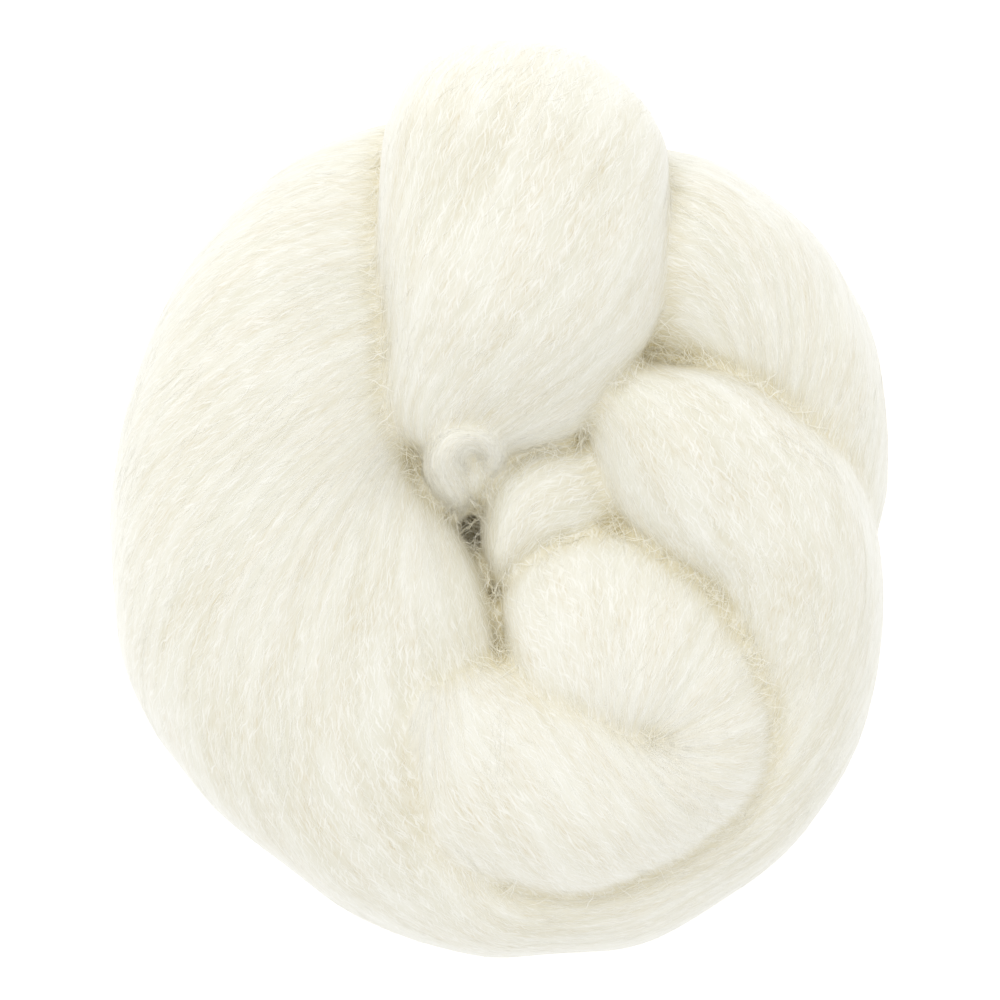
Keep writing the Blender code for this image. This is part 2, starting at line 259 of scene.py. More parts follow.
BACK_TURN = Turn("back_turn", domes=(5.0, 5.0), fineness=1.2, sections=[
    (14, 22, 18, 62, 2, 37, -15, -15, -10),
    (23.5, 21.5, 28.5, 60, 0, 39.5, 25, -12, -10),
    (30, 20, 39.5, 56.5, -1.5, 39.5, -30, -20, -10),
    (37.5, 16.5, 54, 44.5, -2, 38, -90, -48, -15),
    (44, 11, 62.5, 31, -2, 36, -90, -58, -18),
    (47, 3, 66.2, 15.5, -2, 33, -70, -40, -10),
    (50, -2, 66.3, 4, -2, 29, -30, -15, 0),
    (51, -8, 64.5, -7.5, -2, 24),
])
SMALL_TURN = Turn("small_turn", domes=(1.5, 3.0), sections=[
    (2.5, -16, -2.8, -13.5, 4, 27),
    (4, -13, -3.9, -8, 4, 31.5),
    (6.5, -11.5, -3.7, -1, 4, 33.5),
    (9.5, -10.5, -2.3, 6, 4, 34.5),
    (13, -10, 2.5, 12, 4, 34.5),
    (18.5, -8.5, 10, 14.5, 4, 33.5),
    (26, -5, 21, 16, 4, 31),
])
# The inner turn's tone lifts its colour: painted light.
INNER_TURN = Turn("inner_turn", domes=(2.0, 3.0), fineness=1.6, tone=0.4, sections=[
    (1.5, -35, 0.6, -22.5, 3, 31, 165, 104, 12),
    (8, -42, 0.6, -13.6, 3, 37.5, 165, 106, 12),
    (13, -44.5, 6.4, -6.8, 3, 40, 155, 109, 36),
    (17, -46.5, 15.3, -3.6, 3, 41, 115, 96, 68),
    (18.5, -47.5, 25.5, -5, 3, 41, 90, 86, 86),
    (18.5, -47, 36, -11.5, 3, 41, 93, 92, 108),
    (18.5, -45.5, 43, -20.5, 3, 40, 97, 99, 110),
    (18.5, -43.5, 47.3, -29.8, 3, 39.5, 94, 96, 104),
    (18.5, -41, 48.5, -38.5, 3, 39.5, 95, 98, 98),
    (21, -37.5, 46, -48, 3, 39.5, 100, 101, 95),
    (21.5, -35.5, 38.5, -56.5, 3, 40, 105, 105, 95),
    (18.5, -32, 27, -63.5, 3, 41, 115, 113, 100),
    (13, -28.5, 14, -68, 3, 42, 135, 130, 115),
    (7.5, -26.5, 0.5, -66.5, 3, 42, 145, 142, 130),
    (3, -25, -11, -62, 3, 41.8, 148, 150, 148),
    (-1.5, -25.5, -15.5, -56, 3, 41.4, 126, 132, 136),
    (-6, -26.5, -17.5, -49.5, 3, 41.2, 108, 114, 122),
    (-10, -28, -18, -42.5, 3, 40.6, 98, 102, 110),
])

TURNS = [RING, TOP_TURN, TUCK, CURL, TUCKED_END, BACK_TURN, SMALL_TURN, INNER_TURN]


def unit(vectors):
    """The vectors, each with a length of one."""
    return vectors / np.linalg.norm(vectors, axis=-1, keepdims=True).clip(SMALL)


def shares(offsets, spans):
    """How far each offset reaches along its span, as a share of it."""
    return (offsets * spans).sum(1) / (spans**2).sum(1).clip(SMALL)


def smooth_rows(rows, steps):
    """Rows of numbers, with steps - 1 more between each two on a curve through them all."""
    padded = np.vstack([2 * rows[0] - rows[1], rows, 2 * rows[-1] - rows[-2]])
    filled = []
    for before, start, end, after in zip(padded, padded[1:], padded[2:], padded[3:]):
        for t in np.arange(steps) / steps:
            filled.append(
                (2 * t**3 - 3 * t**2 + 1) * start
                + (t**3 - 2 * t**2 + t) * (end - before) / 2
                + (3 * t**2 - 2 * t**3) * end
                + (t**3 - t**2) * (after - start) / 2
            )
    return np.array(filled + [rows[-1]])


def even_rows(rows, spacing):
    """The rows read again at even steps of the longer of the two edges."""
    inner = np.linalg.norm(np.diff(rows[:, 0:2], axis=0), axis=1)
    outer = np.linalg.norm(np.diff(rows[:, 2:4], axis=0), axis=1)
    tip = np.abs(np.diff(np.radians(rows[:, 9]))) * (rows[1:, 5] - rows[1:, 4]) / 2
    along = np.concatenate([[0.0], np.cumsum(np.maximum(inner, outer) + tip)])
    places = np.linspace(0.0, along[-1], int(np.ceil(along[-1] / spacing)) + 1)
    return np.column_stack([np.interp(places, along, column) for column in rows.T])


def dome(ring, neighbour, reach):
    """Smaller and smaller rings that carry an end ring on, away from its neighbour."""
    centre = ring.mean(axis=0)
    onward = centre - neighbour.mean(axis=0)
    onward[2] = 0.0
    onward /= np.linalg.norm(onward)
    angles = np.arange(1, DOME_RINGS + 1) / (DOME_RINGS + 1) * np.pi / 2
    return [centre + (ring - centre) * np.cos(a) + onward * reach * np.sin(a) for a in angles]


class Strand:
    """A turn's skin as a grid of points: rows run along the strand, columns round it.

    The first column runs along the underside, where the flow coordinates have their seam.
    """

    def __init__(self, turn):
        self.turn = turn
        table = np.array([Section(*row) for row in turn.sections], float)
        rows = even_rows(smooth_rows(table, ROW_STEPS), CELL)
        inner, outer, low, top = rows[:, 0:2], rows[:, 2:4], rows[:, 4], rows[:, 5]
        width = np.linalg.norm(outer - inner, axis=1)
        girth = np.pi * np.sqrt(((width / 2) ** 2 + ((top - low) / 2) ** 2) / 2).max() * 2
        count = int(np.ceil(girth / CELL / 4)) * 4
        angle = np.arange(count) / count * 2 * np.pi - np.pi / 2
        power = 2 / FULLNESS
        across = np.sign(np.cos(angle)) * np.abs(np.cos(angle)) ** power
        up = np.sign(np.sin(angle)) * np.abs(np.sin(angle)) ** power
        middle = (inner + outer) / 2
        half = (outer - inner) / 2
        tipped = np.radians(rows[:, 9])
        back = np.column_stack([half[:, 1], -half[:, 0]]) / (width / 2)[:, None]
        back *= np.sign((np.diff(middle, axis=0) * -back[1:]).sum())
        crown = np.column_stack([back * np.sin(tipped)[:, None], np.cos(tipped)])
        points = np.empty((len(rows), count, 3))
        points[:, :, 0] = middle[:, :1] + across * half[:, :1]
        points[:, :, 1] = middle[:, 1:] + across * half[:, 1:]
        points[:, :, 2] = ((low + top) / 2)[:, None]
        points += up[:, None] * (crown * ((top - low) / 2)[:, None])[:, None, :]
        first = dome(points[0], points[1], turn.domes[0])[::-1]
        last = dome(points[-1], points[-2], turn.domes[1])
        self.points = np.concatenate([first, points, last])
        leans = np.radians(rows[:, 6:9])
        leans = np.concatenate([leans[:1]] * DOME_RINGS + [leans] + [leans[-1:]] * DOME_RINGS)
        # Over the crown the lay runs outer, crown, inner; underneath it runs back again.
        over = np.sin(angle).clip(0, 1)
        side = (1 - np.cos(angle)) / 2
        edges = leans[:, 2:3] * (1 - side) + leans[:, 0:1] * side
        self.lean = edges * (1 - over) + leans[:, 1:2] * over
        self.measure()

    def measure(self):
        """Works out the steps along and round the skin, and its normals, from its points."""
        p = self.points
        self.along = np.gradient(p, axis=0)
        self.round = (np.roll(p, -1, axis=1) - np.roll(p, 1, axis=1)) / 2
        self.along_size = np.linalg.norm(self.along, axis=2).clip(1e-3)
        self.round_size = np.linalg.norm(self.round, axis=2).clip(1e-3)
        normal = unit(np.cross(self.round, self.along))
        outward = p - p.mean(axis=1)[:, None, :]
        self.turned_in = (normal * outward).sum() < 0
        self.normal = -normal if self.turned_in else normal

    def read(self, grid, row, column):
        """Values of a grid at places between its points."""
        rows, columns = grid.shape[:2]
        row = row.clip(0, rows - 1.001)
        r0 = row.astype(int)
        c0 = np.floor(column).astype(int)
        fr, fc = row - r0, column - c0
        if grid.ndim == 3:
            fr, fc = fr[..., None], fc[..., None]
        c1 = (c0 + 1) % columns
        c0 = c0 % columns
        near = grid[r0, c0] * (1 - fc) + grid[r0, c1] * fc
        far = grid[r0 + 1, c0] * (1 - fc) + grid[r0 + 1, c1] * fc
        return near * (1 - fr) + far * fr

    def step(self, row, column, length, turned=0.0):
        """Places one step of a length further along the lay of the fibres."""
        lean = self.read(self.lean, row, column) + turned
        row_step = np.cos(lean) * length / self.read(self.along_size, row, column)
        column_step = -np.sin(lean) * length / self.read(self.round_size, row, column)
        return row + row_step, column + column_step

    def streaks(self, rng, reach, blur):
        """Noise drawn out along the lay of the fibres, about -1 to 1."""
        noise = rng.normal(size=self.lean.shape)
        for _ in range(blur):
            noise = (noise + np.roll(noise, 1, axis=1) + np.roll(noise, -1, axis=1)) / 3
            noise[1:-1] = (noise[:-2] + noise[1:-1] + noise[2:]) / 3
        start = np.indices(self.lean.shape).astype(float)
        total = noise.copy()
        steps = int(reach / CELL)
        for way in (1, -1):
            row, column = start
            for k in range(steps):
                row, column = self.step(row, column, way * CELL)
                total += self.read(noise, row, column) * (1 - k / steps)
        total -= total.mean()
        return (total / total.std() / 2).clip(-1.5, 1.5)

    def flow(self):
        """Two coordinates in millimetres: the first grows along the lay, the second across.

        Both have one column more than the skin, because they don't meet at its seam.
        """
        rows, columns = self.lean.shape
        some_rows = np.append(np.arange(0, rows - 1, FLOW_EVERY), rows - 1)
        some_columns = np.arange(0, columns + 1, FLOW_EVERY)
        pick = np.ix_(some_rows, some_columns)
        points = np.concatenate([self.points, self.points[:, :1]], axis=1)[pick]
        lean = np.concatenate([self.lean, self.lean[:, :1]], axis=1)[pick]
        lean = (lean[1:, 1:] + lean[1:, :-1] + lean[:-1, 1:] + lean[:-1, :-1]) / 4
        row_size = np.linalg.norm(np.diff(points, axis=0), axis=2).clip(1e-3)
        row_size = (row_size[:, 1:] + row_size[:, :-1]) / 2
        column_size = np.linalg.norm(np.diff(points, axis=1), axis=2).clip(1e-3)
        column_size = (column_size[1:] + column_size[:-1]) / 2
        weight = np.sqrt(row_size * column_size)
        run, cross = weight * np.cos(lean), weight * np.sin(lean)
        along = Slopes(run / row_size, -cross / column_size)
        across = Slopes(cross / row_size, run / column_size)
        u = fitted([(along, weight, 1.0), (across, 0.0, SLACK_ALONG)], points.shape[:2])
        v = fitted([(along, 0.0, 1.0), (across, weight, SLACK_ACROSS)], points.shape[:2])
        all_rows, all_columns = np.arange(rows), np.arange(columns + 1)
        filled = []
        for grid in (u, v):
            grid = np.stack([np.interp(all_columns, some_columns, line) for line in grid])
            filled.append(np.stack([np.interp(all_rows, some_rows, line) for line in grid.T]).T)
        filled[1] *= self.turn.fineness
        return np.stack(filled + [np.zeros((rows, columns + 1))], axis=2)


class Slopes:
    """A weighted slope of a grid of numbers in one direction, at the middle of each cell."""

    def __init__(self, row_weight, column_weight):
        self.row_weight = row_weight
        self.column_weight = column_weight

    def of(self, grid):
        """The slope of a grid."""
        rise = grid[1:, 1:] - grid[:-1, :-1]
        fall = grid[1:, :-1] - grid[:-1, 1:]
        return (rise + fall) / 2 * self.row_weight + (rise - fall) / 2 * self.column_weight

    def back(self, slope):
        """The transpose of the above: what each grid point gets back from its cells."""
        rise = slope * (self.row_weight + self.column_weight) / 2
        fall = slope * (self.row_weight - self.column_weight) / 2
        grid = np.zeros((slope.shape[0] + 1, slope.shape[1] + 1))
        grid[1:, 1:] += rise
        grid[:-1, :-1] -= rise
        grid[1:, :-1] += fall
        grid[:-1, 1:] -= fall
        return grid


def fitted(terms, shape):
    """The grid whose slopes come closest to their targets, by conjugate gradients.

    Each term is (slopes, target, importance).
    """

    def ripple(grid):
        """Keeps neighbouring points level, which the slopes at cell middles don't see."""
        part = grid[1:, 1:] + grid[:-1, :-1] - grid[1:, :-1] - grid[:-1, 1:]
        spread = np.zeros_like(grid)
        spread[1:, 1:] += part
        spread[:-1, :-1] += part
        spread[1:, :-1] -= part
        spread[:-1, 1:] -= part
        return spread

    def pressed(grid):
        """What all the terms, and the ripple, make of a grid."""
        total = RIPPLE * ripple(grid)
        for slopes, _, importance in terms:
            total += importance * slopes.back(slopes.of(grid))
        return total

    grid = np.zeros(shape)
    rest = grid.copy()
    for slopes, target, importance in terms:
        rest += importance * slopes.back(target - slopes.of(grid))
    way = rest.copy()
    size = (rest * rest).sum()
    goal = size * 1e-8
    for _ in range(FIT_STEPS):
        push = pressed(way)
        reach = size / (way * push).sum()
        grid += reach * way
        rest -= reach * push
        new_size = (rest * rest).sum()
        if new_size < goal:
            break
        way = rest + way * new_size / size
        size = new_size
    return grid


# -------- the skin of the hank
def new_object(name, data):
    """A new object in the scene."""
    made = bpy.data.objects.new(name, data)
    bpy.context.collection.objects.link(made)
    return made


def filled_mesh(name, vertices, faces):
    """A smooth mesh from vertices in millimetres and lists of arrays of alike faces."""
    mesh = bpy.data.meshes.new(name)
    mesh.vertices.add(len(vertices))
    mesh.vertices.foreach_set("co", (vertices * MM).astype(np.float32).ravel())
    corners = np.concatenate([group.ravel() for group in faces]).astype(np.int32)
    sizes = np.concatenate([np.full(len(group), group.shape[1]) for group in faces])
    mesh.loops.add(len(corners))
    mesh.loops.foreach_set("vertex_index", corners)
    mesh.polygons.add(len(sizes))
    starts = np.concatenate([[0], np.cumsum(sizes)[:-1]]).astype(np.int32)
    mesh.polygons.foreach_set("loop_start", starts)
    mesh.polygons.foreach_set("use_smooth", np.ones(len(sizes), bool))
    mesh.update()
    return mesh


def closed_strand(strand):
    """A strand's skin as a closed mesh, in vertices, quads and the triangles at its ends."""
    rows, columns = strand.lean.shape
    index = np.arange(rows * columns).reshape(rows, columns)
    after = np.roll(index, -1, axis=1)
    pole = np.full(columns, rows * columns)
    quads = np.stack([index[:-1], after[:-1], after[1:], index[1:]], axis=2).reshape(-1, 4)
    first_fan = np.stack([after[0], index[0], pole], axis=1)
    last_fan = np.stack([index[-1], after[-1], pole + 1], axis=1)
    triangles = np.concatenate([first_fan, last_fan])
    if strand.turned_in:
        quads, triangles = quads[:, ::-1], triangles[:, ::-1]
    ends = [strand.points[0].mean(axis=0), strand.points[-1].mean(axis=0)]
    return np.concatenate([strand.points.reshape(-1, 3), ends]), quads, triangles


def keep_outer_skin(mesh):
    """Deletes every island but the largest, such as the walls of closed pockets."""
    bm = bmesh.new()
    bm.from_mesh(mesh)
    unseen = set(bm.verts)
    islands = []
    while unseen:
        ahead = [unseen.pop()]
        island = list(ahead)
        while ahead:
            for edge in ahead.pop().link_edges:
                found = unseen.intersection(edge.verts)
                unseen -= found
                ahead += found
                island += found
        islands.append(island)
    islands.sort(key=len)
    for island in islands[:-1]:
        bmesh.ops.delete(bm, geom=island, context="VERTS")
    bm.to_mesh(mesh)
    bm.free()


def joined(strands):
    """One closed mesh round all that the strands fill together."""
    vertices, faces = [], []
    count = 0
    for strand in strands:
        own, quads, triangles = closed_strand(strand)
        vertices.append(own)
        faces += [quads + count, triangles + count]
        count += len(own)
    mesh = filled_mesh("hank_skin", np.concatenate(vertices), faces)
    piece = new_object("hank_skin", mesh)
    bpy.ops.object.select_all(action="DESELECT")
    piece.select_set(True)
    bpy.context.view_layer.objects.active = piece
    remesh = piece.modifiers.new("Join", "REMESH")
    remesh.mode = "VOXEL"
    remesh.voxel_size = VOXEL * MM
    remesh.use_smooth_shade = True
    bpy.ops.object.modifier_apply(modifier=remesh.name)
    keep_outer_skin(piece.data)
    return piece


def taken(items, name, size, kind):
    """What a mesh says of each of its items, such as the two vertices of an edge."""
    values = np.empty(len(items) * size, kind)
    items.foreach_get(name, values)
    return values.reshape(-1, size)


class Skin:
    """The hank's mesh in arrays, in millimetres."""

    def __init__(self, mesh):
        self.points = taken(mesh.vertices, "co", 3, np.float32).astype(float) / MM
        self.edges = taken(mesh.edges, "vertices", 2, np.int32)
        self.faces = taken(mesh.loops, "vertex_index", 1, np.int32).reshape(-1, 4)
        count = np.bincount(self.edges.ravel(), minlength=len(self.points))
        self.neighbours = count.clip(1)[:, None]

    def spread(self, values):
        """For each vertex, the mean over its neighbours."""
        one, other = self.edges[:, 0], self.edges[:, 1]
        total = [
            np.bincount(one, column[other], len(values))
            + np.bincount(other, column[one], len(values))
            for column in values.T
        ]
        return np.stack(total, axis=1) / self.neighbours

    def areas(self):
        """The normal of each face, as long as the face is large."""
        a, b, c, d = (self.points[self.faces[:, k]] for k in range(4))
        return np.cross(c - a, d - b) / 2

    def normals(self):
        """Unit normals at the vertices."""
        total = [
            sum(np.bincount(self.faces[:, k], column, len(self.points)) for k in range(4))
            for column in self.areas().T
        ]
        return unit(np.stack(total, axis=1))

    def soften(self):
        """Smooths the whole skin a little, and lays its underside flat."""
        for _ in range(SMOOTH_ROUNDS):
            self.points += (self.spread(self.points) - self.points) * 0.5
        self.points[:, 2] = np.where(self.points[:, 2] < PRESSED, 0.0, self.points[:, 2])

    def find_hollows(self):
        """How many millimetres each vertex lies below the skin as smoothed over a crease."""
        smooth = self.points
        for _ in range(HOLLOW_ROUNDS):
            smooth = self.spread(smooth)
        self.hollow = ((smooth - self.points) * self.normals()).sum(axis=1)

    def tree(self):
        """A search tree of the skin's faces."""
        return BVHTree.FromPolygons(self.points.tolist(), self.faces.tolist())

    def find_shelter(self):
        """How much of its sky the hank hides from each vertex: 1 is all of it."""
        tree = self.tree()
        number = np.arange(SKY_RAYS) + 0.5
        sideways = np.sqrt(number / SKY_RAYS)
        turn = number * GOLDEN_TURN
        normals = self.normals()
        side = unit(np.cross(normals, (0.3, 0.5, 0.8)))
        other = np.cross(normals, side)
        hits = np.zeros(len(self.points))
        starts = (self.points + normals * SKY_START).tolist()
        upward = np.sqrt(1 - sideways**2)
        for x, y, z in zip(sideways * np.cos(turn), sideways * np.sin(turn), upward):
            rays = (x * side + y * other + z * normals).tolist()
            for k, (start, ray) in enumerate(zip(starts, rays)):
                if tree.ray_cast(start, ray, SKY_REACH)[0] is not None:
                    hits[k] += 1
        shelter = hits[:, None] / SKY_RAYS
        for _ in range(3):
            shelter = (shelter + self.spread(shelter)) / 2
        self.shelter = shelter[:, 0]

    def locate(self, strands):
        """Finds on which strand, and where on its grid, each vertex and face middle lies."""
        vertices, faces, owner = [], [], []
        for number, strand in enumerate(strands):
            own, quads, _ = closed_strand(strand)
            faces += (quads + len(vertices)).tolist()
            vertices += own.tolist()
            owner.append(np.stack([np.full(len(quads), number), np.arange(len(quads))], axis=1))
        owner = np.concatenate(owner)
        tree = BVHTree.FromPolygons(vertices, faces)
        middles = self.points[self.faces].mean(axis=1)
        self.vertex_place = places_on(strands, owner, tree, self.points)
        self.face_place = places_on(strands, owner, tree, middles)
        self.middles = middles


def places_on(strands, owner, tree, points):
    """For each point its nearest strand's number, and the row and column there."""
    nearest = [tree.find_nearest(point)[2] for point in points.tolist()]
    number, cell = owner[nearest].T
    row = np.empty(len(points))
    column = np.empty(len(points))
    for n, strand in enumerate(strands):
        mine = number == n
        columns = strand.lean.shape[1]
        r, c = cell[mine] // columns, cell[mine] % columns
        corner = strand.points[r, c]
        along = strand.points[r + 1, c] - corner
        round_ = strand.points[r, (c + 1) % columns] - corner
        offset = points[mine] - corner
        row[mine] = r + shares(offset, along).clip(0, 1)
        column[mine] = c + shares(offset, round_).clip(0, 1)
    return number, row, column


def corner_flow(skin, strands):
    """The flow coordinates at each corner of each face, all read from the face's own strand."""
    vertex_number, vertex_row, vertex_column = skin.vertex_place
    number, row, column = (np.repeat(values, 4) for values in skin.face_place)
    corner = skin.faces.ravel()
    from_middle = skin.points[corner] - np.repeat(skin.middles, 4, axis=0)
    flow = np.zeros((len(corner), 3))
    for n, strand in enumerate(strands):
        mine = number == n
        columns = strand.lean.shape[1]
        r, c, step = row[mine], column[mine], from_middle[mine]
        near_row = r + shares(step, strand.read(strand.along, r, c))
        near_column = c + shares(step, strand.read(strand.round, r, c))
        own_row, own_column = vertex_row[corner[mine]], vertex_column[corner[mine]]
        own_column = own_column + columns * np.round((c - own_column) / columns)
        same = vertex_number[corner[mine]] == n
        same &= (abs(own_row - r) < 4) & (abs(own_column - c) < 4)
        r = np.where(same, own_row, near_row)
        c = np.where(same, own_column, near_column)
        turns = np.floor(c / columns)
        grid = strand.flow_grid
        jump = grid[:, -1] - grid[:, 0]
        r = r.clip(0, len(grid) - 1.001)
        r0, c0 = r.astype(int), (c - turns * columns).astype(int).clip(0, columns - 1)
        fr, fc = (r - r0)[:, None], (c - turns * columns - c0)[:, None]
        near = grid[r0, c0] * (1 - fc) + grid[r0, c0 + 1] * fc
        far = grid[r0 + 1, c0] * (1 - fc) + grid[r0 + 1, c0 + 1] * fc
        around = jump[r0] * (1 - fr) + jump[r0 + 1] * fr
        flow[mine] = near * (1 - fr) + far * fr + turns[:, None] * around
    return flow


def add_values(mesh, name, domain, values):
    """Gives a mesh an attribute: numbers, or vectors where the values have three columns."""
    kind, key = ("FLOAT_VECTOR", "vector") if values.ndim == 2 else ("FLOAT", "value")
    layer = mesh.attributes.new(name, kind, domain)
    layer.data.foreach_set(key, values.astype(np.float32).ravel())


def finish_piece(piece, material):
    """Gives a piece its material, and lets it ride with the hank."""
    piece.data.materials.append(material)
    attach(piece, "root")


# -------- fibres
def fibre_piece(name, lines, side, lift, radius, tint, deep, material):
    """Many fibres as one piece: each line of points becomes a closed three-sided tube."""
    count, points = lines.shape[:2]
    taper = np.sin(np.linspace(TAPER, np.pi - TAPER, points)) ** 0.5
    thick = (radius[:, None] * taper)[:, :, None]
    rings = [
        lines + thick * (np.cos(a) * side + FIBRE_FLATNESS * np.sin(a) * lift)
        for a in np.radians([90, 210, 330])
    ]
    rings = np.stack(rings, axis=2)
    index = np.arange(count * points * 3).reshape(count, points, 3)
    after = np.roll(index, -1, axis=2)
    quads = [index[:, :-1], index[:, 1:], after[:, 1:], after[:, :-1]]
    quads = np.stack(quads, axis=3).reshape(-1, 4)
    triangles = np.concatenate([index[:, 0], index[:, -1, ::-1]])
    mesh = filled_mesh(name, rings.reshape(-1, 3), [quads, triangles])
    mesh.polygons.foreach_set("use_smooth", np.zeros(len(mesh.polygons), bool))
    add_values(mesh, "tint", "POINT", np.repeat(tint, points * 3))
    add_values(mesh, "deep", "POINT", np.repeat(deep.ravel(), 3))
    finish_piece(new_object(name, mesh), material)


def painted_shade_weight(skin, strands):
    """How deep in a crease each vertex lies, from 0 to 1, which sets its painted shade; less on a
    turn that takes little painted shade.
    """
    hidden = ((skin.shelter - HIDDEN_FROM) / HIDDEN_RANGE).clip(0, 1)
    hollow = (skin.hollow / HOLLOW_FULL).clip(0, 1)
    tan = np.array([strand.turn.tan for strand in strands])[skin.vertex_place[0]]
    deep = (HIDDEN_SHARE * hidden + HOLLOW_SHARE * hollow) * tan
    for _ in range(CREASE_ROUNDS):
        deep = skin.spread(deep[:, None])[:, 0]
    return deep.clip(0, 1)


def painted_rim_light_weight(skin):
    """How much painted rim light each vertex takes, from 0 to 1: how much it faces sideways in the
    open.
    """
    steep = ((RIM_LEVEL - skin.normals()[:, 2]) / RIM_RANGE).clip(0, 1)
    return steep * (1 - skin.shelter / RIM_SHELTER).clip(0, 1)


def snapped(tree, lines):
    """Lines of points moved onto the skin: places, normals, faces and how far they moved."""
    found = [tree.find_nearest(point) for point in lines.reshape(-1, 3).tolist()]
    place = np.array([near[:] for near, _, _, _ in found]).reshape(lines.shape)
    lift = np.array([normal[:] for _, normal, _, _ in found]).reshape(lines.shape)
    face = np.array([number for _, _, number, _ in found]).reshape(lines.shape[:2])
    moved = np.array([distance for _, _, _, distance in found]).reshape(lines.shape[:2])
    return place, lift, face, moved


def beside(place, lift):
    """Unit vectors across each line of points, and upright ones square to the line."""
    ahead = unit(np.gradient(place, axis=1))
    side = unit(np.cross(lift, ahead))
    return side, np.cross(ahead, side)


def crimped(place, lift, rise, rng):
    """The lines with a crimp of their own to the side and up, and raised by `rise`."""
    side, lift = beside(place, lift)
    count, points = place.shape[:2]
    t = np.linspace(0, 1, points)
    length = np.linalg.norm(np.diff(place, axis=1), axis=2).sum(axis=1)
    crimps = (length / rng.uniform(*CRIMP_PITCH, count))[:, None] * t
    phase = rng.uniform(0, 1, (2, count))[:, :, None]
    sway = rng.uniform(*CRIMP_SWAY, count)[:, None] * np.sin(2 * np.pi * (crimps + phase[0]))
    wave = np.sin(2 * np.pi * (crimps * 0.7 + phase[1]))
    rise = rise + rng.uniform(*CRIMP_WAVE, count)[:, None] * wave
    return place + lift * rise[:, :, None] + side * sway[:, :, None], side, lift


def lay_fibres(kind, skin, strands, tree, rng):
    """Crimped fibres that lie along the strands and weave in and out of the skin."""
    areas = skin.areas()
    area = np.linalg.norm(areas, axis=1)
    deep = skin.face_deep
    closer = 1 + CREASE_SHARE * (deep / CREASE_CLOSEST).clip(0, 1)
    weight = area * closer * (deep < TOO_DEEP)
    weight *= np.where(areas[:, 2] < -BELOW_SLOPE * area, BELOW_SHARE, 1.0)
    weight *= np.array([strand.turn.hairiness for strand in strands])[skin.face_place[0]]
    wisps = kind.count // kind.wisp
    chosen = np.repeat(rng.choice(len(area), size=wisps, p=weight / weight.sum()), kind.wisp)
    numbers, rows, columns = (values[chosen] for values in skin.face_place)
    stray = np.repeat(rng.normal(0, kind.stray, wisps), kind.wisp)
    if kind.wisp > 1:
        rows = rows + rng.normal(0, WISP_SPREAD, kind.count)
        columns = columns + rng.normal(0, WISP_SPREAD, kind.count)
        stray += rng.normal(0, WISP_STRAY, kind.count)
    half = kind.points // 2
    tracks = []
    for n, strand in enumerate(strands):
        mine = numbers == n
        count = mine.sum()
        row, column = rows[mine], columns[mine]
        pace = rng.uniform(kind.shortest, kind.longest, count) / (kind.points - 1)
        turned = np.radians(stray[mine])
        bend = np.radians(rng.normal(0, BEND, count)) / kind.points
        for k in range(half):
            row, column = strand.step(row, column, -pace, turned - bend * k)
        track = []
        for k in range(kind.points):
            track.append(strand.read(strand.points, row, column))
            row, column = strand.step(row, column, pace, turned + bend * (k - half))
        tracks.append(np.stack(track, axis=1))
    place, lift, face, moved = snapped(tree, np.concatenate(tracks))
    keep = moved.max(axis=1) < FAR_OFF
    place, lift, deep = place[keep], lift[keep], deep[face[keep]]
    lift[:, 1:-1] = (lift[:, :-2] + lift[:, 1:-1] + lift[:, 2:]) / 3
    arch = np.sin(np.pi * np.linspace(0, 1, kind.points))
    rise = rng.gamma(2.0, RISE, len(place))[:, None] * arch - SUNK
    return *crimped(place, lift, rise, rng), deep


def cross_creases(kind, skin, tree, rng):
    """Stray fibres that hang over the creases, with an end on either side."""
    here = (skin.deep > CROSSING_DEEP) & (skin.points[:, 2] > CROSSING_HEIGHT)
    weight = np.where(here, skin.deep, 0.0)
    chosen = rng.choice(len(weight), size=kind.count, p=weight / weight.sum())
    middle, up = skin.points[chosen], skin.normals()[chosen]
    side = unit(np.cross(up, rng.normal(size=up.shape)))
    reach = rng.uniform(kind.shortest, kind.longest, (2, kind.count, 1)) / 2
    ends = np.stack([middle - side * reach[0], middle + side * reach[1]], axis=1)
    ends, end_lift, face, _ = snapped(tree, ends + CROSSING_LIFT * up[:, None])
    t = np.linspace(0, 1, kind.points)[None, :, None]
    place = ends[:, :1] * (1 - t) + ends[:, 1:] * t
    lift = unit(end_lift[:, :1] * (1 - t) + end_lift[:, 1:] * t)
    end_painted_shade = skin.face_deep[face]
    deep = end_painted_shade[:, :1] * (1 - t[:, :, 0]) + end_painted_shade[:, 1:] * t[:, :, 0]
    arch = rng.normal(*CROSSING_ARCH, kind.count)[:, None] * np.sin(np.pi * t[:, :, 0])
    return *crimped(place, lift, arch + CROSSING_CLEAR, rng), deep


def fibre_pieces(kind, lines, side, lift, deep, rng, material):
    """Makes the fibres, in pieces of about POINTS_A_PIECE."""
    count = len(lines)
    radius = rng.uniform(kind.thin, kind.thick, count)
    tint = rng.uniform(0, 1, count)
    groups = int(np.ceil(count * kind.points / POINTS_A_PIECE))
    for number, group in enumerate(np.array_split(np.arange(count), groups)):
        fibre_piece(
            f"{kind.name}_{number + 1}", lines[group], side[group], lift[group], radius[group],
            tint[group], deep[group], material,
        )


# -------- materials
def new_material(name, values):
    """A material and the shader of its surface, which gets these values."""
    material = bpy.data.materials.new(name)
    material.use_nodes = True
    surface = material.node_tree.nodes["Principled BSDF"]
    for key, value in values.items():
        surface.inputs[key].default_value = value
    return material, surface


def add_node(tree, kind, inputs, **settings):
    """A node with its settings, and its inputs either linked or set to a value."""
    node = tree.nodes.new("ShaderNode" + kind)
    for key, value in settings.items():
        setattr(node, key, value)
    for key, value in inputs.items():
        if isinstance(value, bpy.types.NodeSocket):
            tree.links.new(value, node.inputs[key])
        else:
            node.inputs[key].default_value = value
    return node


